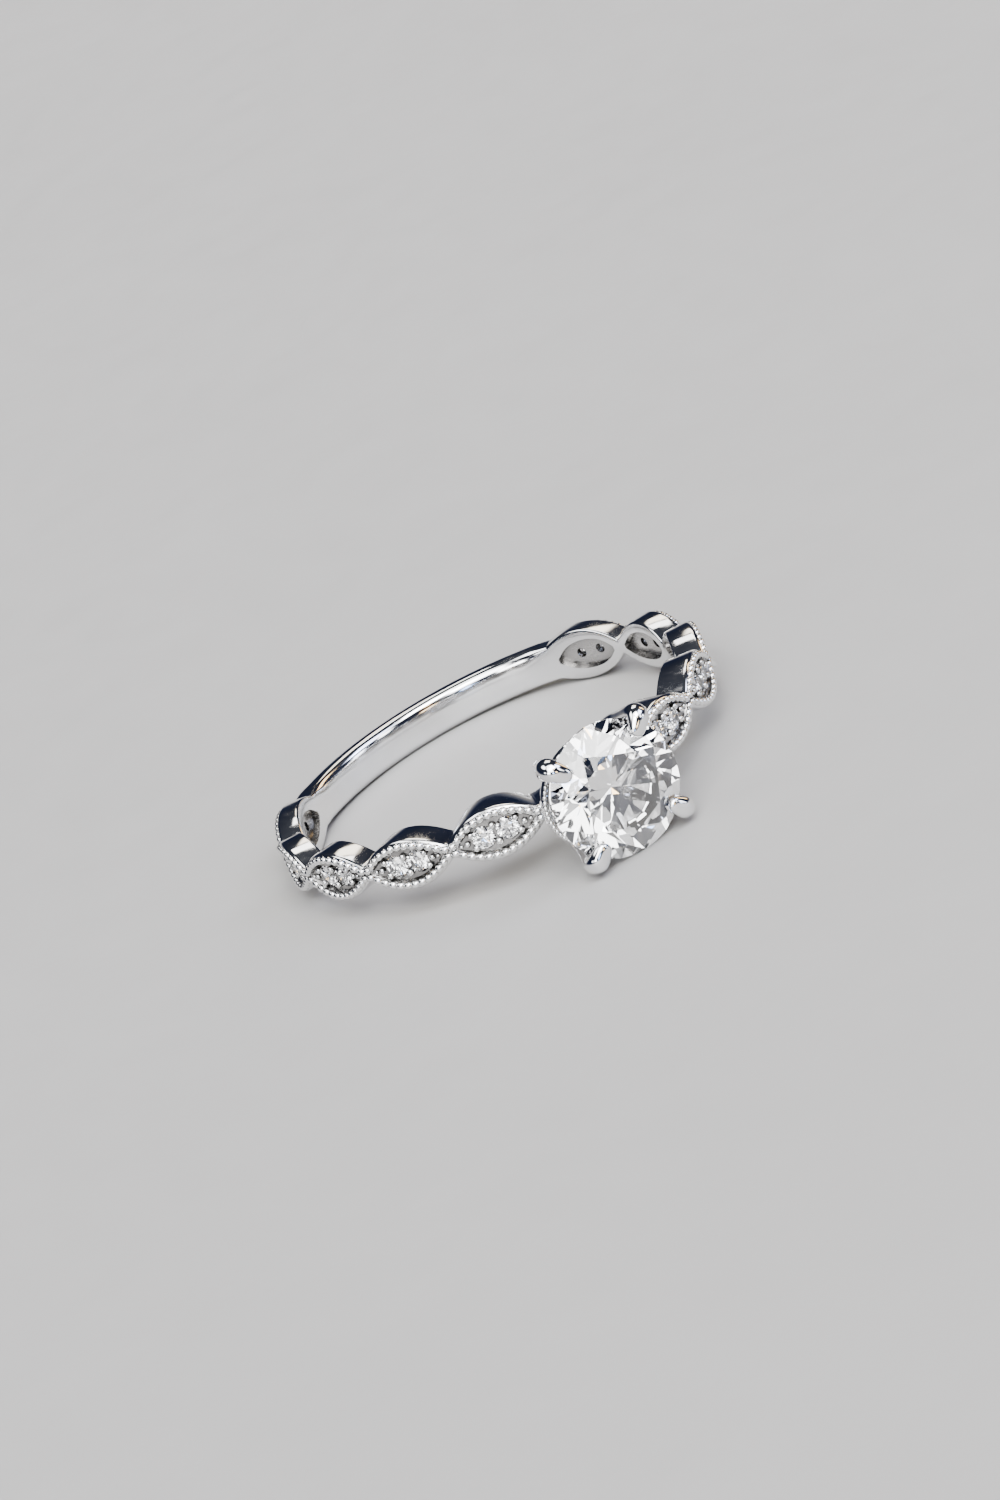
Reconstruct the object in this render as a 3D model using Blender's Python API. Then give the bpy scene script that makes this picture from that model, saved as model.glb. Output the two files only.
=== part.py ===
"""Engagement ring lying on its side: white-gold band of ten pave-set marquise stations, a four-claw
basket head, a round brilliant and twenty melee stones."""
import math

import bmesh
import bpy
from mathutils import Matrix, Vector

for item in list(bpy.data.objects):
    bpy.data.objects.remove(item, do_unlink=True)

# Driving dimensions, millimetres and degrees. Finger axis is local Z, the head points to local -Y,
# and angles round the band are counted from the head, positive towards -X.
INNER_R = 8.65
JOINT_DEG = (13.0, 36.1, 60.7, 85.7, 110.4, 135.5)
HEAD_END_R = 10.14
SHOULDER_RISE = 0.75
SHOULDER_POWER = 4
SHANK_R = 9.80
BRIDGE_R = 10.05
JOINT_HALF = 0.30
STATION_HALF = 1.17
SHANK_HALF = 0.88
LAST_JOINT_HALF = 0.74
BRIDGE_HALF = 1.00
INNER_ROUND = 0.16
EDGE_BREAK = 0.06
RIM = 0.34
RECESS_DEPTH = 0.30
HOLLOW_DEPTH = 0.30
STATION_STEPS = 10

MELEE_D = 0.98
MELEE_PITCH = 1.12
MELEE_GAP = 0.03
AZURE_R = 0.22

STONE_D = 5.74
GIRDLE_H = 12.88
STONE_CLEAR = 1.015

CLAW_PATH = ((1.50, 10.24), (1.94, 10.28), (2.28, 10.46), (2.48, 10.75), (2.61, 11.10),
             (2.72, 11.50), (2.84, 11.90), (2.95, 12.28), (3.06, 12.62), (3.13, 12.92),
             (3.10, 13.16), (2.94, 13.32), (2.72, 13.40), (2.46, 13.42))
CLAW_RADII = (0.30, 0.33, 0.35, 0.36, 0.37, 0.38, 0.40, 0.43, 0.45, 0.46, 0.44, 0.40, 0.35, 0.23)
RAIL_R, RAIL_MINOR, RAIL_H = 2.36, 0.28, 11.72
RAIL_STRETCH = (1.10, 0.92, 1.0)
FOOT_R, FOOT_MINOR, FOOT_H = 1.50, 0.30, 10.24
SADDLE_GAP = 0.02

MM = 0.001
parts = bpy.data.collections.new("engagement_ring")
tools = bpy.data.collections.new("cutting_tools")
for collection in (parts, tools):
    bpy.context.scene.collection.children.link(collection)
rest = bpy.data.objects.new("resting_pose", None)
bpy.context.scene.collection.objects.link(rest)


def material(name, colour, roughness, metallic):
    mat = bpy.data.materials.new(name)
    mat.use_nodes = True
    shader = mat.node_tree.nodes["Principled BSDF"]
    shader.inputs["Base Color"].default_value = (*colour, 1.0)
    shader.inputs["Roughness"].default_value = roughness
    shader.inputs["Metallic"].default_value = metallic
    return mat


def node(name, mesh, mat, smooth=True):
    obj = bpy.data.objects.new(name, mesh)
    parts.objects.link(obj)
    obj.parent = rest
    mesh.materials.append(mat)
    mesh.polygons.foreach_set("use_smooth", [smooth] * len(mesh.polygons))
    mesh.set_sharp_from_angle(angle=math.radians(38))
    return obj


def tool(name, mesh):
    obj = bpy.data.objects.new(name, mesh)
    tools.objects.link(obj)
    obj.parent = rest
    obj.hide_render = True
    obj.display_type = 'WIRE'
    return obj


def combine(obj, other, operation):
    boolean = obj.modifiers.new(other.name, 'BOOLEAN')
    boolean.operation = operation
    boolean.solver = 'EXACT'
    boolean.object = other


def finished_mesh(name, bm):
    bmesh.ops.recalc_face_normals(bm, faces=bm.faces)
    mesh = bpy.data.meshes.new(name)
    bm.to_mesh(mesh)
    bm.free()
    return mesh


def polar(radius, angle, z):
    return Vector((-radius * math.sin(angle), -radius * math.cos(angle), z)) * MM


def facing_out(angle):
    return Matrix.Rotation(-angle, 4, 'Z') @ Matrix.Rotation(math.pi / 2, 4, 'X')


def loft(rings, closed):
    """Skin equal-length rings of points into one closed body; open lofts get end faces."""
    bm = bmesh.new()
    skins = [[bm.verts.new(point) for point in ring] for ring in rings]
    pairs = zip(skins, skins[1:] + skins[:1]) if closed else zip(skins, skins[1:])
    for here, there in pairs:
        for i in range(len(here)):
            j = (i + 1) % len(here)
            bm.faces.new((here[i], here[j], there[j], there[i]))
    if not closed:
        bm.faces.new(skins[0])
        bm.faces.new(skins[-1])
    return bm


# ---- band ----------------------------------------------------------------------------------------
JOINTS = [math.radians(value) for value in JOINT_DEG]


def station_half(index, t):
    """Half width of a station; t runs from -1 at the head end to 1."""
    end = LAST_JOINT_HALF if index == 4 else JOINT_HALF
    ends = JOINT_HALF + (end - JOINT_HALF) * (1 + t) / 2
    return ends + (STATION_HALF - (JOINT_HALF + end) / 2) * (1 - t * t)


def station_radius(angle):
    """Outer radius: an even taper to the shank, plus shoulders that rise towards the head."""
    run = (abs(angle) - JOINTS[0]) / (JOINTS[5] - JOINTS[0])
    return HEAD_END_R + (SHANK_R - HEAD_END_R) * run + SHOULDER_RISE * (1 - run) ** SHOULDER_POWER


def half_section(angle):
    """Half width, outer radius and roundness of the band at an angle from the head."""
    turn = abs(angle)
    if turn <= JOINTS[0]:
        s = turn / JOINTS[0]
        return JOINT_HALF + (BRIDGE_HALF - JOINT_HALF) * (1 - s * s) ** 3, \
            BRIDGE_R + (station_radius(JOINTS[0]) - BRIDGE_R) * s ** 12, 0.0
    for index in range(5):
        if turn <= JOINTS[index + 1]:
            t = 2 * (turn - JOINTS[index]) / (JOINTS[index + 1] - JOINTS[index]) - 1
            return station_half(index, t), station_radius(turn), 0.0
    s = min(1.0, (turn - JOINTS[5]) / math.radians(7.0))
    ease = s * s * (3 - 2 * s)
    return LAST_JOINT_HALF + (SHANK_HALF - LAST_JOINT_HALF) * ease, SHANK_R, ease


def band_ring(angle):
    half, outer, rounded = half_section(angle)
    side = outer - EDGE_BREAK - rounded * 0.58
    corner = INNER_ROUND * (1 - math.sqrt(0.5))
    upper = [(INNER_R, half - INNER_ROUND), (INNER_R + corner, half - corner),
             (INNER_R + INNER_ROUND, half), (side, half)]
    for k in range(1, 4):
        sweep = k * math.pi / 6
        flat = Vector((outer, (half - EDGE_BREAK) * (1 - (k - 1) / 2)))
        dome = Vector((side + (outer - side) * math.sin(sweep), half * math.cos(sweep)))
        upper.append(tuple(flat.lerp(dome, rounded)))
    upper[-1] = (outer, 0.0)
    lower = [(radius, -z) for radius, z in reversed(upper[:-1])]
    return [polar(radius, angle, z) for radius, z in upper + lower]


stops = [JOINTS[0] * k / 8 for k in range(8)]
for start, end in zip(JOINTS, JOINTS[1:]):
    stops += [start + (end - start) * k / STATION_STEPS for k in range(STATION_STEPS)]
stops += [JOINTS[5] + math.radians(7.0) * k / 4 for k in range(4)]
back = JOINTS[5] + math.radians(7.0)
stops += [back + (math.pi - back) * k / 9 for k in range(9)]
angles = stops + [math.pi] + [-value for value in reversed(stops[1:])]


def station_prisms(name, edge, extent, low, high):
    """Marquise prisms following the curve of every station, between two radii."""
    bm = bmesh.new()
    for side in (1, -1):
        for index in range(5):
            middle = (JOINTS[index] + JOINTS[index + 1]) / 2
            reach = (JOINTS[index + 1] - JOINTS[index]) / 2
            rows = []
            for k in range(12):
                t = (k / 5.5 - 1) * extent
                slope = 2 * t * (STATION_HALF - JOINT_HALF) / (reach * HEAD_END_R)
                half = station_half(0, t) - edge * math.hypot(1, slope)
                half *= 0.5 if k in (0, 11) else 1.0
                angle = side * (middle + reach * t)
                radius = station_radius(angle)
                rows.append([polar(low(radius), angle, -half), polar(low(radius), angle, half),
                             polar(high(radius), angle, half), polar(high(radius), angle, -half)])
            piece = loft(rows, closed=False)
            mesh = finished_mesh(name, piece)
            bm.from_mesh(mesh)
            bpy.data.meshes.remove(mesh)
    return finished_mesh(name, bm)


def melee_places():
    for side, label in ((1, "left"), (-1, "right")):
        for index in range(5):
            middle = (JOINTS[index] + JOINTS[index + 1]) / 2
            for offset, letter in ((-0.5, "a"), (0.5, "b")):
                angle = side * (middle + offset * MELEE_PITCH / station_radius(middle))
                yield f"melee_{label}_{index + 1}{letter}", angle, station_radius(angle) - RECESS_DEPTH


def seat_mesh():
    """Drilled seats: straight wall over the girdle, bearing cone, open azure hole to the finger."""
    bm = bmesh.new()
    wall = MELEE_D / 2 + MELEE_GAP
    for _, angle, girdle in melee_places():
        profile = ((AZURE_R, INNER_R - girdle - 0.4), (AZURE_R, -0.28), (wall, -0.02), (wall, 0.8))
        place = facing_out(angle)
        rings = []
        for radius, height in profile:
            turns = [(k + 0.5) * math.tau / 12 for k in range(12)]
            rings.append([place @ Vector((radius * math.cos(turn), radius * math.sin(turn),
                                          girdle + height)) * MM for turn in turns])
        mesh = finished_mesh("seat", loft(rings, closed=False))
        bm.from_mesh(mesh)
        bpy.data.meshes.remove(mesh)
    return finished_mesh("stone_seats", bm)


white_gold = material("white_gold_band", (0.80, 0.80, 0.81), 0.08, 1.0)
head_gold = material("white_gold_head", (0.82, 0.82, 0.83), 0.07, 1.0)
diamond = material("diamond", (0.93, 0.95, 0.97), 0.02, 0.0)
melee_diamond = material("melee_diamond", (0.90, 0.92, 0.94), 0.03, 0.0)

band = node("band", finished_mesh("band", loft([band_ring(a) for a in angles], closed=True)),
            white_gold)
combine(band, tool("station_recesses", station_prisms(
    "station_recesses", RIM, 0.90, lambda r: r - RECESS_DEPTH, lambda r: r + 0.6)), 'DIFFERENCE')
combine(band, tool("finger_side_hollows", station_prisms(
    "finger_side_hollows", 0.42, 0.74, lambda r: INNER_R - 0.5, lambda r: INNER_R + HOLLOW_DEPTH)),
    'DIFFERENCE')
combine(band, tool("stone_seats", seat_mesh()), 'DIFFERENCE')


# ---- brilliants ----------------------------------------------------------------------------------
def brilliant(name, diameter, fine):
    """Round brilliant cut, girdle on the local origin, table up; fine doubles the girdle points."""
    r = diameter / 2 * MM
    top, bottom = 0.028 * r, -0.028 * r
    half_turn = math.cos(math.pi / 8)
    bm = bmesh.new()

    def ring(count, radius, z, turn=0.0):
        return [bm.verts.new((radius * math.cos((k + turn) * math.tau / count),
                              radius * math.sin((k + turn) * math.tau / count), z))
                for k in range(count)]

    table = ring(8, 0.58 * r, top + 0.30 * r)
    stars = ring(8, 0.775 * r, top + 0.30 * r * (1 - 0.775 * half_turn) / 0.42, 0.5)
    crown = ring(16, r, top)
    belt = ring(16, r, bottom)
    halves = ring(8, 0.26 * r, bottom - 0.86 * r * (1 - 0.26 * half_turn), 0.5)
    culet = bm.verts.new((0.0, 0.0, bottom - 0.86 * r))
    dip = r * (1 - math.cos(math.pi / 16))
    crest = ring(16, r, top - 0.82 * dip, 0.5) if fine else None
    trough = ring(16, r, bottom + 0.88 * dip, 0.5) if fine else None
    bm.faces.new(table)
    for k in range(8):
        n, g = (k + 1) % 8, 2 * k
        bm.faces.new((table[k], table[n], stars[k]))
        bm.faces.new((table[n], stars[k], crown[(g + 2) % 16], stars[n]))
        bm.faces.new((culet, halves[k], belt[(g + 2) % 16], halves[n]))
        for first in (g, g + 1):
            second = (first + 1) % 16
            if fine:
                bm.faces.new((stars[k], crown[first], crest[first], crown[second]))
                bm.faces.new((halves[k], belt[first], trough[first], belt[second]))
                bm.faces.new((crown[first], crest[first], trough[first], belt[first]))
                bm.faces.new((crest[first], crown[second], belt[second], trough[first]))
            else:
                bm.faces.new((stars[k], crown[first], crown[second]))
                bm.faces.new((halves[k], belt[first], belt[second]))
                bm.faces.new((crown[first], crown[second], belt[second], belt[first]))
    return finished_mesh(name, bm)


for name, angle, girdle in melee_places():
    stone = node(name, brilliant(name, MELEE_D, fine=False), melee_diamond, smooth=False)
    stone.matrix_local = facing_out(angle) @ Matrix.Translation((0, 0, girdle * MM))

centre_place = facing_out(0.0) @ Matrix.Translation((0, 0, GIRDLE_H * MM))
centre = node("centre_diamond", brilliant("centre_diamond", STONE_D, fine=True), diamond, False)
centre.matrix_local = centre_place


# ---- head ----------------------------------------------------------------------------------------
def claw_mesh(turn):
    """Tapered wire bent from the foot rail, past the girdle and over the crown."""
    wire = bpy.data.curves.new("claw", 'CURVE')
    wire.dimensions = '3D'
    wire.bevel_depth = MM
    wire.bevel_resolution = 2
    wire.use_fill_caps = True
    line = wire.splines.new('POLY')
    line.points.add(len(CLAW_PATH) - 1)
    for point, (radius, height), thickness in zip(line.points, CLAW_PATH, CLAW_RADII):
        point.co = (radius * math.cos(turn) * MM, radius * math.sin(turn) * MM, height * MM, 1)
        point.radius = thickness
    carrier = bpy.data.objects.new("claw", wire)
    mesh = bpy.data.meshes.new_from_object(carrier)
    bpy.data.objects.remove(carrier)
    bm = bmesh.new()
    bm.from_mesh(mesh)
    bpy.data.meshes.remove(mesh)
    bmesh.ops.remove_doubles(bm, verts=bm.verts, dist=1e-7)
    return finished_mesh("claw", bm)


def rail_mesh(name, radius, minor, height, stretch=(1, 1, 1)):
    segments, sides = 48, 10
    rings = [[Matrix.Rotation((i + 0.5) * math.tau / segments, 4, 'Z')
              @ Vector(((radius + minor * math.cos((j + 0.5) * math.tau / sides)) * MM, 0.0,
                        minor * math.sin((j + 0.5) * math.tau / sides) * MM))
              for j in range(sides)] for i in range(segments)]
    bm = loft(rings, closed=True)
    bmesh.ops.scale(bm, vec=stretch, verts=bm.verts)
    bmesh.ops.translate(bm, vec=(0, 0, height * MM), verts=bm.verts)
    return finished_mesh(name, bm)


head = node("claw_head", rail_mesh("claw_head", FOOT_R, FOOT_MINOR, FOOT_H), head_gold)
head.matrix_local = facing_out(0.0)
rail = tool("gallery_rail", rail_mesh("gallery_rail", RAIL_R, RAIL_MINOR, RAIL_H, RAIL_STRETCH))
rail.matrix_local = facing_out(0.0)
combine(head, rail, 'UNION')
for number in range(4):
    claw = tool(f"claw_wire_{number + 1}", claw_mesh(math.radians(45 + 90 * number)))
    claw.matrix_local = facing_out(0.0)
    combine(head, claw, 'UNION')
seat = tool("centre_stone_seat", brilliant("centre_stone_seat", STONE_D * STONE_CLEAR, True))
seat.matrix_local = centre_place
combine(head, seat, 'DIFFERENCE')
bm = bmesh.new()
bmesh.ops.create_cone(bm, cap_ends=True, segments=160, radius1=(BRIDGE_R + SADDLE_GAP) * MM,
                      radius2=(BRIDGE_R + SADDLE_GAP) * MM, depth=2.6 * MM)
combine(head, tool("saddle_file", finished_mesh("saddle_file", bm)), 'DIFFERENCE')

# ---- resting pose: the girdle and the back of the shank both touch the table -----------------------
shoulder = SHANK_R - EDGE_BREAK - 0.58
lean = math.atan2(STONE_D / 2 - SHANK_HALF, GIRDLE_H + shoulder)
rest.rotation_euler = (-lean, 0.0, 0.0)
bpy.context.view_layer.update()
depsgraph = bpy.context.evaluated_depsgraph_get()
points = []
for obj in parts.objects:
    shape = obj.evaluated_get(depsgraph)
    points += [shape.matrix_world @ vertex.co for vertex in shape.to_mesh().vertices]
    shape.to_mesh_clear()
low = [min(point[axis] for point in points) for axis in range(3)]
high = [max(point[axis] for point in points) for axis in range(3)]
rest.location = (-(low[0] + high[0]) / 2, -(low[1] + high[1]) / 2, -low[2])
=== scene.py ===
"""Engagement ring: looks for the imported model. Lengths in millimetres until they are placed."""
import math

import bmesh
import bpy
from mathutils import Matrix, Vector


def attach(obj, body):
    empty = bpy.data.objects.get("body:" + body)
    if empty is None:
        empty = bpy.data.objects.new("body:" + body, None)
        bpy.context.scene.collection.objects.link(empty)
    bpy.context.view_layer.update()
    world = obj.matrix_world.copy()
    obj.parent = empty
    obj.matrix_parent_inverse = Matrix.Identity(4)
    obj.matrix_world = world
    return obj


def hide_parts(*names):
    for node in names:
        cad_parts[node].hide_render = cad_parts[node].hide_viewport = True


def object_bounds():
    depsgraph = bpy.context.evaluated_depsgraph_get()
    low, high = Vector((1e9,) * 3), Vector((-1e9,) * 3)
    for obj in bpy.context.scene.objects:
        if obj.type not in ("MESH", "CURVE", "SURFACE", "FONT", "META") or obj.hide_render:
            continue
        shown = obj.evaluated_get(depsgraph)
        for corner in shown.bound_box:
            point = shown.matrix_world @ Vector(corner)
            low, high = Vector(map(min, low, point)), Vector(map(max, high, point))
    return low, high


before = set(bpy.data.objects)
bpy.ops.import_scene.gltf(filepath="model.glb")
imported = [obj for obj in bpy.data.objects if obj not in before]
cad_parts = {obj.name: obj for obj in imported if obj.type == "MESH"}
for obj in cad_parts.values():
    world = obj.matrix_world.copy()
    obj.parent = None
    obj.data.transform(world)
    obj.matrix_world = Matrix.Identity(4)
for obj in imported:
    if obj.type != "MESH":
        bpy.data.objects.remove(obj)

CAD_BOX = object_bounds()

# Ring frame, in millimetres: origin in the middle of the finger hole, finger axis +Z, head towards
# -Y, and angles counted from the head, positive to its left. Radii are from the finger axis, and
# heights in the head are too.
INNER_R = 8.65
JOINTS = [math.radians(a) for a in (13.0, 36.1, 60.7, 85.7, 110.4, 135.5)]
HEAD_END_R, SHANK_R, BRIDGE_R = 10.14, 9.80, 10.05
SHOULDER_RISE, SHOULDER_POWER = 0.75, 4
JOINT_HALF, STATION_HALF, SHANK_HALF = 0.30, 1.17, 0.88
LAST_JOINT_HALF, BRIDGE_HALF = 0.74, 1.00
MELEE_PITCH, RECESS = 1.12, 0.30
GIRDLE_H, STONE_R = 12.88, 2.87
BELT, TABLE_RISE, TABLE_SIZE, PAVILION = 0.028, 0.328, 0.58, 0.888     # parts of the stone's radius
RAIL_R, RAIL_H, RAIL_STRETCH = 2.40, 11.72, (1.10, 0.92)
FOOT_R, FOOT_H = 1.50, 10.24
NOTCH = 0.05            # softening of the outline where two stations meet
SINK = 0.12             # how far the rim lies below the top of its milgrain
RIM_BEVEL = 0.19
INNER_BEND, SHANK_BEND = 0.13, 0.38     # rounding at the finger side: stations, shank
DOME_DEPTH = 0.54
SHANK_SIDE_R = 9.16     # where the CAD shank's flat side ends
BED_REACH = 0.93        # part of a station's length that its bed takes up
FLAT_PART, TIP_RISE = 0.52, 0.18        # the bed's floor is flat to here, then rises this much
BED_MARGIN, FLOOR_MARGIN = 0.24, 0.46   # from the outline to the bed's edge and to its floor
HOLLOW_DEPTH, HOLLOW_REACH = 0.30, 0.80
SEAT_R, AZURE_R = 0.515, 0.22
MILGRAIN_R, MILGRAIN_MARGIN, MILGRAIN_BEADS = 0.17, 0.25, 13
GALLERY_BEAD_R, GALLERY_BEADS = 0.105, 74
CLEARANCE = 0.01        # between the head and the band
SEAT_SCALE = 1.006      # the centre stone's seat, against the stone

# The ring rests on the stone's girdle and on the back of the shank. The lower edge of the table
# reaches the front of the CAD box.
LEAN = math.atan2(STONE_R - SHANK_HALF, GIRDLE_H + SHANK_SIDE_R)
FRONT = (GIRDLE_H + TABLE_RISE * STONE_R) * math.cos(LEAN) + TABLE_SIZE * STONE_R * math.sin(LEAN)
BOTTOM = STONE_R * math.cos(LEAN) - (GIRDLE_H - BELT * STONE_R) * math.sin(LEAN)
MM = 0.001
RING = (Matrix.Translation((0.0, CAD_BOX[0][1] + FRONT * MM, BOTTOM * MM))
        @ Matrix.Rotation(-LEAN, 4, 'X') @ Matrix.Scale(MM, 4))


# ---- materials -------------------------------------------------------------------------------
def principled(name):
    mat = bpy.data.materials.new(name)
    mat.use_nodes = True
    return mat, mat.node_tree, mat.node_tree.nodes["Principled BSDF"]


def link(tree, *pairs):
    for start, end in pairs:
        tree.links.new(start, end)


def node(tree, kind, **inputs):
    made = tree.nodes.new(kind)
    for name, value in inputs.items():
        made.inputs[name.replace("_", " ")].default_value = value
    return made


def noise(tree, coords, scale, detail, stretch=(1, 1, 1)):
    mapping = node(tree, "ShaderNodeMapping", Scale=stretch)
    made = node(tree, "ShaderNodeTexNoise", Scale=scale, Detail=detail)
    link(tree, (coords, mapping.inputs["Vector"]), (mapping.outputs[0], made.inputs["Vector"]))
    return made.outputs["Fac"]


def ramp(tree, factor, low, high, start, end):
    made = node(tree, "ShaderNodeMapRange", From_Min=low, From_Max=high, To_Min=start, To_Max=end)
    link(tree, (factor, made.inputs["Value"]))
    return made.outputs[0]


def metal(name, colour, polish, worn, crevice_shade):
    """Rhodium-plated white gold: cloudy polish, hairlines round the ring, soft hammer waves, and
    painted shade: the colour is darkened by ambient occlusion where the surface is closed in."""
    mat, tree, shader = principled(name)
    shader.inputs["Metallic"].default_value = 1.0
    coords = tree.nodes.new("ShaderNodeTexCoord").outputs["Object"]
    cloud = noise(tree, coords, 900.0, 4.0)
    hairs = noise(tree, coords, 2500.0, 3.0, (1, 1, 9))
    wave = noise(tree, coords, 420.0, 2.0)
    tone = node(tree, "ShaderNodeMix")
    tone.data_type = 'RGBA'
    tone.inputs["A"].default_value = (*[c * 0.93 for c in colour], 1)
    tone.inputs["B"].default_value = (*colour, 1)
    link(tree, (ramp(tree, cloud, 0.35, 0.65, 0.0, 1.0), tone.inputs["Factor"]))
    # painted shade: ambient occlusion darkens the base colour in crevices and between beads
    closed = node(tree, "ShaderNodeAmbientOcclusion", Distance=0.0005)
    closed.samples = 6
    shaded_colour = node(tree, "ShaderNodeMix")
    shaded_colour.data_type = 'RGBA'
    shaded_colour.inputs["A"].default_value = (*[c * (1 - crevice_shade) for c in colour], 1)
    link(tree, (ramp(tree, closed.outputs["AO"], 0.3, 0.9, 0.0, 1.0), shaded_colour.inputs["Factor"]),
         (tone.outputs["Result"], shaded_colour.inputs["B"]),
         (shaded_colour.outputs["Result"], shader.inputs["Base Color"]))
    rough = node(tree, "ShaderNodeMath")
    rough.operation = 'MULTIPLY'
    link(tree, (ramp(tree, cloud, 0.3, 0.7, polish, worn), rough.inputs[0]),
         (ramp(tree, hairs, 0.4, 0.7, 0.85, 1.6), rough.inputs[1]),
         (rough.outputs[0], shader.inputs["Roughness"]))
    waves = node(tree, "ShaderNodeBump", Strength=0.3, Distance=0.00001)
    lines = node(tree, "ShaderNodeBump", Strength=0.25, Distance=0.000001)
    link(tree, (wave, waves.inputs["Height"]), (hairs, lines.inputs["Height"]),
         (waves.outputs[0], lines.inputs["Normal"]), (lines.outputs[0], shader.inputs["Normal"]))
    return mat


def diamond(name):
    """Clear diamond; the polish wavers by a hair, which breaks up the reflections."""
    mat, tree, shader = principled(name)
    shader.inputs["Base Color"].default_value = (1, 1, 1, 1)
    shader.inputs["Roughness"].default_value = 0.0
    shader.inputs["IOR"].default_value = 2.417
    shader.inputs["Transmission Weight"].default_value = 1.0
    coords = tree.nodes.new("ShaderNodeTexCoord").outputs["Object"]
    polish = node(tree, "ShaderNodeBump", Strength=0.15, Distance=0.000002)
    link(tree, (noise(tree, coords, 700.0, 2.0), polish.inputs["Height"]),
         (polish.outputs[0], shader.inputs["Normal"]))
    return mat


white_gold = metal("rhodium_white_gold", (0.86, 0.86, 0.865), 0.05, 0.13, crevice_shade=0.6)
milgrain_gold = metal("milgrained_white_gold", (0.88, 0.88, 0.875), 0.07, 0.15, crevice_shade=0.92)
# painted shade: the bright-cut beds, hollows and seats get a darker metal colour for the shade in the
# recesses
recess_shade_gold = metal("recess_shade_white_gold", (0.46, 0.45, 0.44), 0.14, 0.26, crevice_shade=0.7)
head_gold = metal("head_white_gold", (0.87, 0.87, 0.875), 0.04, 0.10, crevice_shade=0.45)
stone = diamond("diamond_centre")
melee = diamond("diamond_melee")
for name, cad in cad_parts.items():
    look = stone if name == "centre_diamond" else melee if name.startswith("melee") else white_gold
    for slot in cad.material_slots:
        slot.material = look


# ---- ring outline ----------------------------------------------------------------------------
def station_half(index, t):
    """Half width of a station along its length; t runs from -1 at the head end to 1."""
    end = LAST_JOINT_HALF if index == 4 else JOINT_HALF
    ends = JOINT_HALF + (end - JOINT_HALF) * (1 + t) / 2
    bulge = (STATION_HALF - (JOINT_HALF + end) / 2) * (1 - t * t)
    return ends + math.hypot(bulge, NOTCH) - NOTCH * bulge / STATION_HALF


def station_span(index):
    """Middle and half length of a station, as angles."""
    return (JOINTS[index] + JOINTS[index + 1]) / 2, (JOINTS[index + 1] - JOINTS[index]) / 2


def station_radius(turn):
    """An even taper to the shank, plus shoulders that rise towards the head."""
    run = (turn - JOINTS[0]) / (JOINTS[5] - JOINTS[0])
    return HEAD_END_R + (SHANK_R - HEAD_END_R) * run + SHOULDER_RISE * (1 - run) ** SHOULDER_POWER


def section(angle):
    """Half width, rim radius and roundness of the band at an angle from the head."""
    turn = abs(angle)
    if turn <= JOINTS[0]:
        s = turn / JOINTS[0]
        half = JOINT_HALF + math.hypot((BRIDGE_HALF - JOINT_HALF) * (1 - s * s) ** 3, NOTCH)
        rise = station_radius(JOINTS[0]) - SINK - BRIDGE_R
        return half, BRIDGE_R + rise * s ** 12, 0.0
    if turn <= JOINTS[5]:
        index = next(k for k in range(5) if turn <= JOINTS[k + 1])
        t = 2 * (turn - JOINTS[index]) / (JOINTS[index + 1] - JOINTS[index]) - 1
        return station_half(index, t), station_radius(turn) - SINK, 0.0
    s = min(1.0, (turn - JOINTS[5]) / math.radians(7.0))
    ease = s * s * (3 - 2 * s)
    start = LAST_JOINT_HALF + NOTCH
    return start + (SHANK_HALF - start) * ease, SHANK_R - SINK * (1 - ease), ease


def polar(radius, angle, z):
    return Vector((-radius * math.sin(angle), -radius * math.cos(angle), z))


def facing_out(angle, height):
    return (Matrix.Rotation(-angle, 4, 'Z') @ Matrix.Rotation(math.pi / 2, 4, 'X')
            @ Matrix.Translation((0, 0, height)))


# ---- mesh helpers ----------------------------------------------------------------------------
def mesh_of(name, bm):
    bmesh.ops.recalc_face_normals(bm, faces=bm.faces)
    mesh = bpy.data.meshes.new(name)
    bm.to_mesh(mesh)
    bm.free()
    return mesh


def skin(bm, rings, closed):
    """Quads between equal rings of points; open skins get end faces."""
    rows = [[bm.verts.new(point) for point in ring] for ring in rings]
    for here, there in zip(rows, rows[1:] + rows[:1] if closed else rows[1:]):
        for i, vert in enumerate(here):
            j = (i + 1) % len(here)
            bm.faces.new((vert, here[j], there[j], there[i]))
    if not closed:
        bm.faces.new(rows[0])
        bm.faces.new(rows[-1])


def scratch(name, mesh):
    obj = bpy.data.objects.new(name, mesh)
    bpy.context.scene.collection.objects.link(obj)
    return obj


def boolean(obj, mesh, mat=None):
    """Cuts the mesh away; the cut faces can take a material of their own."""
    modifier = obj.modifiers.new(mesh.name, 'BOOLEAN')
    modifier.operation = 'DIFFERENCE'
    modifier.solver = 'EXACT'
    if mat:
        mesh.materials.append(mat)
        modifier.material_mode = 'TRANSFER'
    modifier.object = scratch(mesh.name, mesh)


def settle(obj):
    """The object's evaluated mesh; the object and its cutters are removed."""
    cutters = [m.object for m in obj.modifiers if m.type == 'BOOLEAN']
    bpy.context.view_layer.update()
    mesh = bpy.data.meshes.new_from_object(
        obj.evaluated_get(bpy.context.evaluated_depsgraph_get()))
    for item in [obj] + cutters:
        bpy.data.objects.remove(item)
    return mesh


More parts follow.
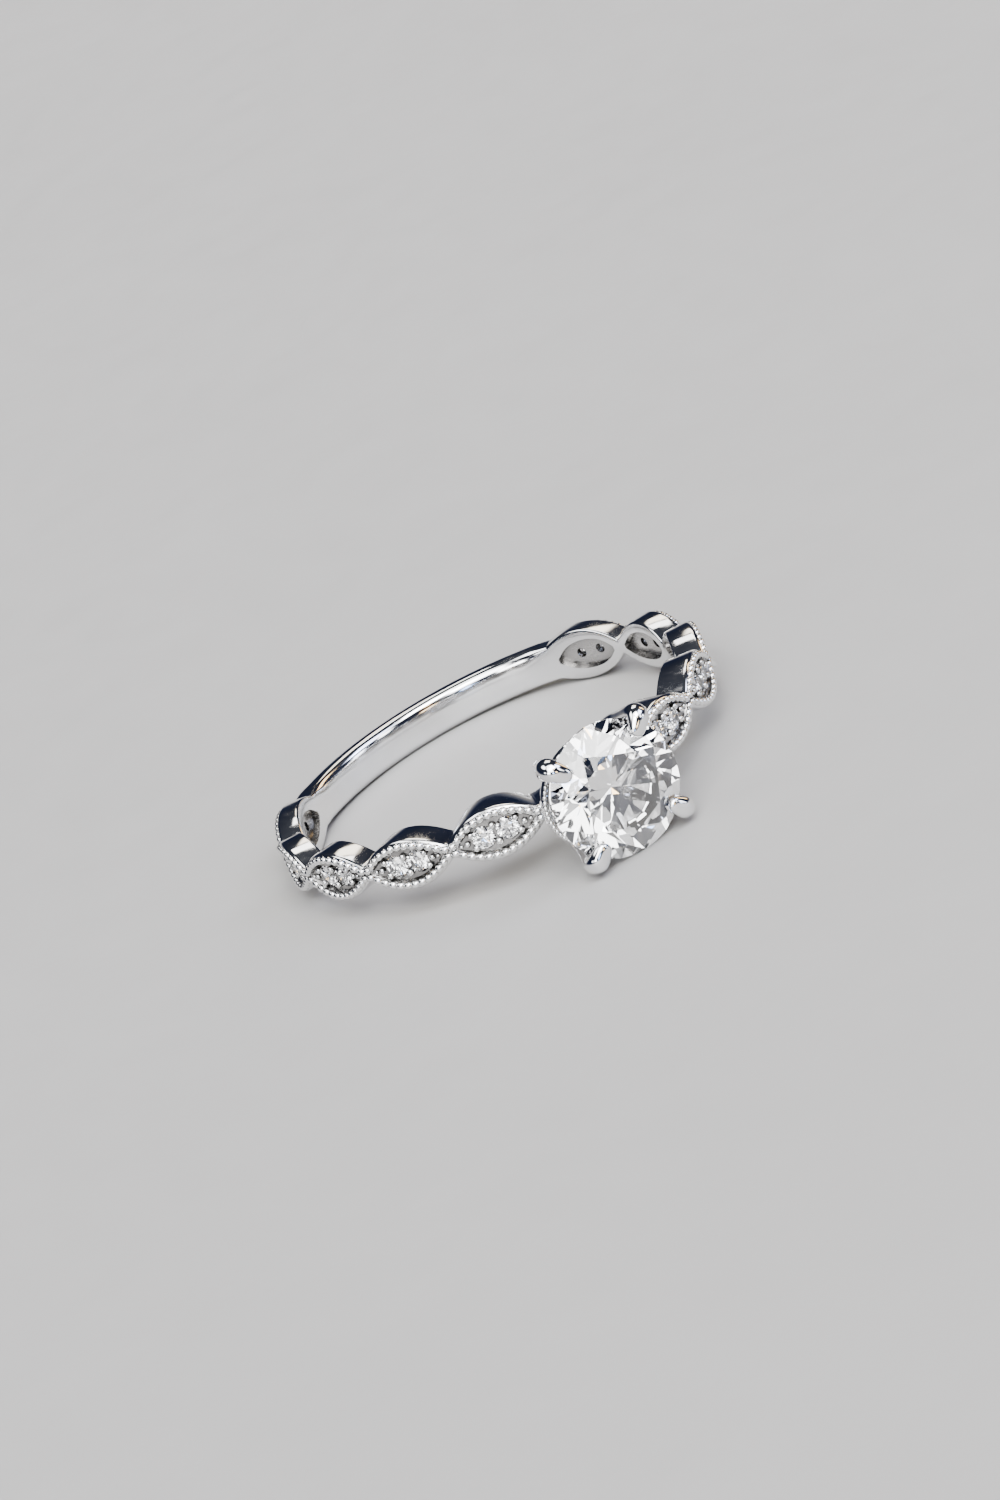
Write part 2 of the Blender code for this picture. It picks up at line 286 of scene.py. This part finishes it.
def piece(name, mesh, mat, crease, nodes=()):
    """A visible piece: ring millimetres to the row frame, shading, material and body; the CAD parts it
    stands for are hidden.
    """
    mesh.transform(RING)
    if not mesh.materials:
        mesh.materials.append(mat)
    mesh.polygons.foreach_set("use_smooth", [True] * len(mesh.polygons))
    mesh.set_sharp_from_angle(angle=math.radians(crease))
    obj = scratch(name, mesh)
    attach(obj, "root")
    if nodes:
        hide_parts(*nodes)


# ---- band ------------------------------------------------------------------------------------
def band_ring(angle):
    """The band's cross-section: flat rim with bevels at the stations, dome at the shank."""
    half, outer, rounded = section(angle)
    comfort = 0.05 + 0.07 * rounded
    bend_in = INNER_BEND + (SHANK_BEND - INNER_BEND) * rounded
    bevel = min(RIM_BEVEL, half * 0.45)
    upper = []
    for k in range(5):
        z = (half - bend_in) * k / 4
        upper.append((INNER_R + comfort * (z / half) ** 2, z))
    centre = upper[-1][0] + bend_in
    for k in range(1, 6):
        bend = k * math.pi / 10
        upper.append((centre - bend_in * math.cos(bend), half - bend_in * (1 - math.sin(bend))))
    side = outer - bevel - (DOME_DEPTH - bevel) * rounded
    upper.append((side, half))
    for k in range(1, 11):
        bend = k * math.pi / 20
        flat = Vector((outer, (half - bevel) * (10 - k) / 6))
        if k < 5:
            flat = Vector((outer - bevel * (1 - math.sin(k * math.pi / 8)),
                           half - bevel * (1 - math.cos(k * math.pi / 8))))
        dome = Vector((side + (outer - side) * math.sin(bend), half * math.cos(bend)))
        upper.append(tuple(flat.lerp(dome, rounded)))
    upper[-1] = (outer, 0.0)
    lower = [(radius, -z) for radius, z in reversed(upper[1:-1])]
    return [polar(radius, angle, z) for radius, z in upper + lower]


def band_angles():
    stops = [JOINTS[0] * math.sin(math.pi * k / 48) for k in range(24)]
    for start, end in zip(JOINTS, JOINTS[1:]):
        # closer together near the joints, where the outline turns
        stops += [start + (end - start) * (1 - math.cos(math.pi * k / 30)) / 2 for k in range(30)]
    stops += [JOINTS[5] + (math.pi - JOINTS[5]) * k / 28 for k in range(28)]
    return stops + [math.pi] + [-value for value in reversed(stops[1:])]


def bed_cutter():
    """A marquise prism with sloping walls over every station. Its floor rises to the tips."""
    bm = bmesh.new()
    for side in (1, -1):
        for index in range(5):
            middle, reach = station_span(index)
            rows = []
            for k in range(34):
                t = math.sin(math.pi * (k / 33 - 0.5)) * BED_REACH
                slope = 2 * t * (STATION_HALF - JOINT_HALF) / (reach * HEAD_END_R)
                turn = middle + reach * t
                fade = max(0.0, (abs(t) - FLAT_PART) / (BED_REACH - FLAT_PART))
                low = station_radius(turn) - RECESS + TIP_RISE * fade * fade * (3 - 2 * fade)
                high = station_radius(turn) + 0.1
                wide, wider = (max(station_half(0, t) - margin * math.hypot(1, slope), 0.012)
                               for margin in (FLOOR_MARGIN, BED_MARGIN))
                rows.append([polar(low, side * turn, -wide), polar(low, side * turn, wide),
                             polar(high, side * turn, wider), polar(high, side * turn, -wider)])
            skin(bm, rows, closed=False)
    return mesh_of("bright_cut_beds", bm)


def hollow_cutter():
    """Shallow marquise hollows in the finger side, behind the stones."""
    bm = bmesh.new()
    for side in (1, -1):
        for index in range(5):
            middle, reach = station_span(index)
            rows = []
            for k in range(30):
                t = math.sin(math.pi * (k / 29 - 0.5)) * HOLLOW_REACH
                half = max((station_half(0, t) - 0.36) * 0.80 * (1 - (t / 0.83) ** 6), 0.02)
                angle = side * (middle + reach * t)
                low, high = INNER_R - 0.5, INNER_R + HOLLOW_DEPTH
                rows.append([polar(low, angle, -half - 0.16), polar(low, angle, half + 0.16),
                             polar(high, angle, half), polar(high, angle, -half)])
            skin(bm, rows, closed=False)
    return mesh_of("finger_side_hollows", bm)


def melee_places():
    """Angle and girdle radius of each small stone."""
    for side in (1, -1):
        for index in range(5):
            middle, _ = station_span(index)
            for offset in (-0.5, 0.5):
                turn = middle + offset * MELEE_PITCH / station_radius(middle)
                yield side * turn, station_radius(turn) - RECESS


def seat_cutter():
    """Azure hole, bearing cone, straight wall and flared mouth for every small stone."""
    bm = bmesh.new()
    for angle, girdle in melee_places():
        profile = ((AZURE_R, INNER_R - girdle - 0.5), (AZURE_R, -0.28), (SEAT_R, -0.02),
                   (SEAT_R, 0.06), (0.56, 0.12), (0.62, 0.9))
        place = facing_out(angle, girdle)
        rings = [[place @ Vector((radius * math.cos((k + 0.5) * math.tau / 28),
                                  radius * math.sin((k + 0.5) * math.tau / 28), height))
                  for k in range(28)] for radius, height in profile]
        skin(bm, rings, closed=False)
    return mesh_of("melee_seats", bm)


bm = bmesh.new()
skin(bm, [band_ring(angle) for angle in band_angles()], closed=True)
band = scratch("band_shape", mesh_of("band_shape", bm))
band.data.materials.append(white_gold)
# the cut faces take the darker metal: painted shade in the beds, hollows and seats
boolean(band, bed_cutter(), recess_shade_gold)
boolean(band, hollow_cutter(), recess_shade_gold)
boolean(band, seat_cutter(), recess_shade_gold)
piece("band_casting", settle(band), white_gold, crease=28, nodes=["band"])


# ---- milgrain --------------------------------------------------------------------------------
def beaded_wire(bm, points, radius, beads, closed=False):
    """A wire of touching beads along a fine polyline; beads is how many fit on it."""
    sides, neck = 10, 0.88
    lengths = [0.0]
    for a, b in zip(points, points[1:]):
        lengths.append(lengths[-1] + (b - a).length)
    total, rings, here = lengths[-1], [], 0
    steps = (-1, -0.82, -0.5, -0.17, 0.17, 0.5, 0.82)
    marks = [(i, u) for i in range(beads) for u in steps]
    if not closed:
        marks.append((beads - 1, 1.0))
    for i, u in marks:
        s = min(max((i + (u + 1) / 2) / beads * total, 0.0), total * 0.99999)
        while lengths[here + 1] < s:
            here += 1
        a, b = points[here], points[here + 1]
        centre = a.lerp(b, (s - lengths[here]) / (lengths[here + 1] - lengths[here]))
        along = (points[min(here + 2, len(points) - 1)] - points[max(here - 1, 0)]).normalized()
        across = along.cross(Vector((0.31, 0.2, 0.93))).normalized()
        other = along.cross(across)
        width = radius * math.sqrt(1 - (u * neck) ** 2)
        rings.append([centre + width * (across * math.cos(k * math.tau / sides)
                                        + other * math.sin(k * math.tau / sides))
                      for k in range(sides)])
    skin(bm, rings, closed)


def rim_path(side, sign, index):
    """The middle line of the milgrain on one edge of a station."""
    middle, reach = station_span(index)
    points = []
    for k in range(81):
        t = math.sin(math.pi * (k / 80 - 0.5))
        slope = (station_half(index, min(t + 0.01, 1)) - station_half(index, max(t - 0.01, -1))) / 0.02
        slope /= reach * HEAD_END_R
        half = max(station_half(index, t) - MILGRAIN_MARGIN * math.hypot(1, slope), 0.16)
        turn = middle + t * reach
        points.append(polar(station_radius(turn) - SINK - 0.005, side * turn, sign * half))
    return points


for side, label in ((1, "left"), (-1, "right")):
    bm = bmesh.new()
    for sign in (1, -1):
        for index in range(5):
            beaded_wire(bm, rim_path(side, sign, index), MILGRAIN_R, MILGRAIN_BEADS)
    piece(f"milgrain_{label}", mesh_of("milgrain", bm), milgrain_gold, crease=60)


# ---- beads that hold the melee ---------------------------------------------------------------
# along the station, across it, radius, height of the middle over the bed
GRAINS = ((0.0, 0.37, 0.16, 0.08), (0.0, -0.37, 0.16, 0.08), (1.03, 0.30, 0.15, 0.08),
          (1.03, -0.30, 0.15, 0.08), (-1.03, 0.30, 0.15, 0.08), (-1.03, -0.30, 0.15, 0.08),
          (1.32, 0.0, 0.13, 0.09), (-1.32, 0.0, 0.13, 0.09), (1.60, 0.0, 0.09, 0.13),
          (-1.60, 0.0, 0.09, 0.13))


def grain(bm, place, radius):
    made = bmesh.ops.create_icosphere(bm, subdivisions=2, radius=radius)
    flattened = place @ Matrix.Diagonal((1, 1, 0.9, 1))
    bmesh.ops.transform(bm, matrix=flattened, verts=made["verts"])


bm = bmesh.new()
for side in (1, -1):
    for index in range(5):
        middle, _ = station_span(index)
        radius = station_radius(middle)
        for along, across, size, lift in GRAINS:
            angle = side * (middle + along / radius)
            place = facing_out(angle, station_radius(abs(angle)) - RECESS + lift)
            grain(bm, place @ Matrix.Translation((0, across, 0)), size)
piece("setting_beads", mesh_of("setting_beads", bm), milgrain_gold, crease=60)


# ---- head ------------------------------------------------------------------------------------
# a claw's rows: distance from the head's axis, height, half thickness, half width
CLAW = ((1.50, 10.20, 0.27, 0.27), (1.92, 10.24, 0.30, 0.30), (2.26, 10.42, 0.33, 0.33),
        (2.47, 10.70, 0.35, 0.35), (2.61, 11.08, 0.36, 0.37), (2.72, 11.48, 0.37, 0.38),
        (2.83, 11.88, 0.39, 0.41), (2.95, 12.26, 0.42, 0.44), (3.06, 12.60, 0.45, 0.47),
        (3.13, 12.90, 0.46, 0.49), (3.11, 13.12, 0.43, 0.48), (2.97, 13.27, 0.38, 0.46),
        (2.75, 13.36, 0.32, 0.42), (2.52, 13.44, 0.25, 0.36), (2.34, 13.49, 0.18, 0.27),
        (2.24, 13.51, 0.07, 0.12))


def catmull(points, steps):
    """Smooth rows through the given rows of numbers."""
    rows = []
    padded = [points[0]] + list(points) + [points[-1]]
    for a, b, c, d in zip(padded, padded[1:], padded[2:], padded[3:]):
        for k in range(steps):
            t = k / steps
            rows.append([0.5 * (2 * q + (r - p) * t + (2 * p - 5 * q + 4 * r - s) * t * t
                                + (3 * q - p - 3 * r + s) * t ** 3)
                         for p, q, r, s in zip(a, b, c, d)])
    rows.append(list(points[-1]))
    return rows


def claw(bm, turn):
    """A tapered wire bent from the foot rail, past the girdle and over the crown."""
    rows = catmull(CLAW, 4)
    out = Vector((math.cos(turn), math.sin(turn), 0))
    aside = Vector((-math.sin(turn), math.cos(turn), 0))
    rings = []
    for k, (radius, height, thick, wide) in enumerate(rows):
        before, after = rows[max(k - 1, 0)], rows[min(k + 1, len(rows) - 1)]
        along = (out * (after[0] - before[0]) + Vector((0, 0, after[1] - before[1]))).normalized()
        normal = aside.cross(along)
        centre = out * radius + Vector((0, 0, height))
        rings.append([centre + normal * thick * math.cos(m * math.tau / 24)
                      + aside * wide * math.sin(m * math.tau / 24) for m in range(24)])
    skin(bm, rings, closed=False)


def rail_point(turn, across, rise, stretch):
    return Vector((across * stretch[0] * math.cos(turn), across * stretch[1] * math.sin(turn), rise))


def rail(bm, radius, half_width, tall, height, stretch):
    """An oval hoop; tall is half its height."""
    skin(bm, [[rail_point(i * math.tau / 160, radius + half_width * math.cos(j * math.tau / 16),
                          height + tall * math.sin(j * math.tau / 16), stretch)
               for j in range(16)] for i in range(160)], closed=True)


def brilliant(scale):
    """The centre stone's outline, enlarged, to cut its seat in the claws."""
    r = STONE_R * scale
    profile = ((0.02, -PAVILION * r), (r, -BELT * r), (r, BELT * r), (TABLE_SIZE * r, TABLE_RISE * r))
    bm = bmesh.new()
    skin(bm, [[Vector((radius * math.cos(k * math.tau / 64), radius * math.sin(k * math.tau / 64),
                       height + GIRDLE_H)) for k in range(64)] for radius, height in profile], False)
    return mesh_of("stone_seat", bm)


bm = bmesh.new()
for number in range(4):
    claw(bm, math.radians(45 + 90 * number))
rail(bm, RAIL_R, 0.22, 0.30, RAIL_H, RAIL_STRETCH)
rail(bm, FOOT_R, 0.28, 0.30, FOOT_H, (1, 1))
head = scratch("head_shape", mesh_of("head_shape", bm))
remesh = head.modifiers.new("fuse", 'REMESH')
remesh.mode = 'VOXEL'
remesh.voxel_size = 0.035
soften = head.modifiers.new("soften", 'SMOOTH')
soften.factor = 0.5
soften.iterations = 8
boolean(head, brilliant(SEAT_SCALE))
saddle = bmesh.new()
bmesh.ops.create_cone(saddle, cap_ends=True, segments=240, radius1=BRIDGE_R + CLEARANCE,
                      radius2=BRIDGE_R + CLEARANCE, depth=2.2,
                      matrix=Matrix.Rotation(math.pi / 2, 4, 'X'))
boolean(head, mesh_of("saddle", saddle))
mesh = settle(head)
mesh.transform(facing_out(0, 0))
piece("claw_head_casting", mesh, head_gold, crease=40, nodes=["claw_head"])

bm = bmesh.new()
path = [rail_point(k * math.tau / 240, RAIL_R + 0.13, RAIL_H + 0.24, RAIL_STRETCH)
        for k in range(241)]
beaded_wire(bm, path, GALLERY_BEAD_R, GALLERY_BEADS, closed=True)
mesh = mesh_of("gallery_milgrain", bm)
mesh.transform(facing_out(0, 0))
piece("gallery_milgrain", mesh, milgrain_gold, crease=60)

# ---- floor, light and camera -----------------------------------------------------------------
floor_mat, tree, shader = principled("floor_paint")
coords = tree.nodes.new("ShaderNodeTexCoord").outputs["Object"]
tone = node(tree, "ShaderNodeMix")
tone.data_type = 'RGBA'
tone.inputs["A"].default_value = (0.295, 0.29, 0.285, 1)
tone.inputs["B"].default_value = (0.32, 0.315, 0.31, 1)
link(tree, (noise(tree, coords, 60.0, 5.0), tone.inputs["Factor"]),
     (tone.outputs["Result"], shader.inputs["Base Color"]),
     (ramp(tree, noise(tree, coords, 400.0, 3.0), 0.3, 0.7, 0.5, 0.62), shader.inputs["Roughness"]))
bpy.ops.mesh.primitive_plane_add(size=8.0, location=(0, 0, 0))
floor = bpy.context.object
floor.name = "studio_floor"
floor.data.materials.append(floor_mat)


def softbox(name, direction, distance, size, power, colour):
    data = bpy.data.lights.new(name, 'AREA')
    data.shape = 'RECTANGLE'
    data.size, data.size_y = size
    data.energy = power
    data.color = colour
    lamp = bpy.data.objects.new(name, data)
    bpy.context.scene.collection.objects.link(lamp)
    direction = Vector(direction).normalized()
    lamp.location = direction * distance
    lamp.rotation_euler = direction.to_track_quat('Z', 'Y').to_euler()


softbox("key_softbox", (-0.27, -0.67, 0.69), 0.5, (0.12, 0.09), 0.7, (0.96, 0.98, 1.0))
softbox("rim_softbox", (0.25, 0.45, 0.86), 0.6, (0.26, 0.12), 0.6, (1.0, 0.97, 0.93))

world = bpy.data.worlds.new("studio")
bpy.context.scene.world = world
world.use_nodes = True
tree = world.node_tree
sky = tree.nodes["Background"]
direction = tree.nodes.new("ShaderNodeTexCoord").outputs["Generated"]


def toward(axis):
    """How far the looked-up direction points along an axis."""
    made = node(tree, "ShaderNodeVectorMath")
    made.operation = 'DOT_PRODUCT'
    made.inputs[1].default_value = axis
    link(tree, (direction, made.inputs[0]))
    return made.outputs["Value"]


def arithmetic(operation, a, b):
    made = node(tree, "ShaderNodeMath")
    made.operation = operation
    for value, socket in zip((a, b), made.inputs):
        if isinstance(value, float):
            socket.default_value = value
        else:
            link(tree, (value, socket))
    return made.outputs[0]


def fade(value, start, end):
    made = node(tree, "ShaderNodeMapRange", From_Min=start, From_Max=end)
    made.interpolation_type = 'SMOOTHSTEP'
    link(tree, (value, made.inputs["Value"]))
    return made.outputs[0]


def panel(middle, wide, tall, strength, colour):
    """A soft-edged bright panel in the studio round the ring, as a colour."""
    middle = Vector(middle).normalized()
    side = middle.cross(Vector((0, 0, 1))).normalized()
    ahead = fade(toward(middle), 0.0, 0.02)
    across = arithmetic('ABSOLUTE', toward(side), 0.0)
    upright = arithmetic('ABSOLUTE', toward(side.cross(middle)), 0.0)
    mask = arithmetic('MULTIPLY', fade(across, wide * 1.25, wide * 0.8),
                      fade(upright, tall * 1.25, tall * 0.8))
    lit = node(tree, "ShaderNodeVectorMath")
    lit.operation = 'SCALE'
    lit.inputs[0].default_value = [c * strength for c in colour]
    link(tree, (arithmetic('MULTIPLY', mask, ahead), lit.inputs["Scale"]))
    return lit.outputs[0]


height = toward((0, 0, 1))
walls = node(tree, "ShaderNodeValToRGB")
link(tree, (height, walls.inputs["Fac"]))
stops = walls.color_ramp.elements
stops[0].position = 0.0
stops[0].color = (0.42, 0.40, 0.38, 1)
stops[1].position = 1.0
stops[1].color = (0.05, 0.055, 0.07, 1)
for position, colour in ((0.10, (0.10, 0.11, 0.15, 1)), (0.17, (0.012, 0.018, 0.045, 1)),
                         (0.5, (0.02, 0.024, 0.04, 1))):
    stops.new(position).color = colour
glow = walls.outputs[0]

WHITE, COOL, WARM = (1, 1, 1), (0.86, 0.90, 1.0), (1.0, 0.90, 0.74)
AMBER, BLUE, LAVENDER = (1.0, 0.68, 0.34), (0.42, 0.60, 1.0), (0.72, 0.78, 1.0)
# direction, half width, half height, strength, colour
PANELS = (
    ((-0.38, -0.66, 0.65), 0.28, 0.30, 12.0, WHITE),
    ((0.13, -0.56, 0.82), 0.20, 0.22, 18.0, WHITE),
    ((0.62, -0.44, 0.65), 0.24, 0.20, 9.0, LAVENDER),
    ((-0.08, -0.32, 0.94), 0.30, 0.14, 8.0, WHITE),
    ((-0.53, 0.16, 0.83), 0.28, 0.16, 7.0, WHITE),
    ((0.80, -0.58, 0.18), 0.08, 0.10, 8.0, COOL),
    ((0.52, -0.76, 0.36), 0.07, 0.12, 9.0, WHITE),
    ((0.90, 0.15, 0.42), 0.10, 0.20, 6.0, AMBER),
    ((-0.93, -0.20, 0.30), 0.10, 0.08, 6.0, WHITE),
    ((0.40, 0.60, 0.69), 0.16, 0.12, 5.0, WARM),
    ((-0.74, -0.63, 0.24), 0.15, 0.11, 12.0, WHITE),
    ((0.06, -0.98, 0.19), 0.08, 0.05, 10.0, AMBER),
    ((-0.34, -0.91, 0.17), 0.05, 0.07, 12.0, BLUE),
    ((0.75, -0.35, 0.56), 0.06, 0.08, 12.0, BLUE),
    ((0.08, -0.80, 0.59), 0.03, 0.06, 12.0, AMBER),
    ((0.68, -0.73, 0.05), 0.04, 0.03, 12.0, BLUE),
)
for row in PANELS:
    add = node(tree, "ShaderNodeVectorMath")
    link(tree, (glow, add.inputs[0]), (panel(*row), add.inputs[1]))
    glow = add.outputs[0]
link(tree, (glow, sky.inputs["Color"]))

# the camera looks at the ring from the front left, rolled, a little over the head
AZ, EL, ROLL = math.radians(-16.88), math.radians(16.76), math.radians(-27.34)
DISTANCE, ASIDE, ABOVE = 315.8, 0.308, 0.1145
back = Vector((math.sin(AZ) * math.cos(EL), -math.cos(AZ) * math.cos(EL), math.sin(EL)))
right = (-back).cross(Vector((0, 0, 1))).normalized()
up = right.cross(-back)
right, up = (math.cos(ROLL) * right + math.sin(ROLL) * up,
             math.cos(ROLL) * up - math.sin(ROLL) * right)
facing = Matrix((right, up, back)).transposed().to_4x4()
place = RING @ Matrix.Translation(back * DISTANCE + right * ASIDE + up * ABOVE)
camera_data = bpy.data.cameras.new("photo_camera")
camera_data.lens = 180.29
camera_data.sensor_width = 36.0
camera_data.clip_start = 0.01
camera = bpy.data.objects.new("photo_camera", camera_data)
camera.matrix_world = (Matrix.Translation(place.to_translation())
                       @ Matrix.Rotation(-LEAN, 4, 'X') @ facing)
bpy.context.scene.collection.objects.link(camera)
bpy.context.scene.camera = camera
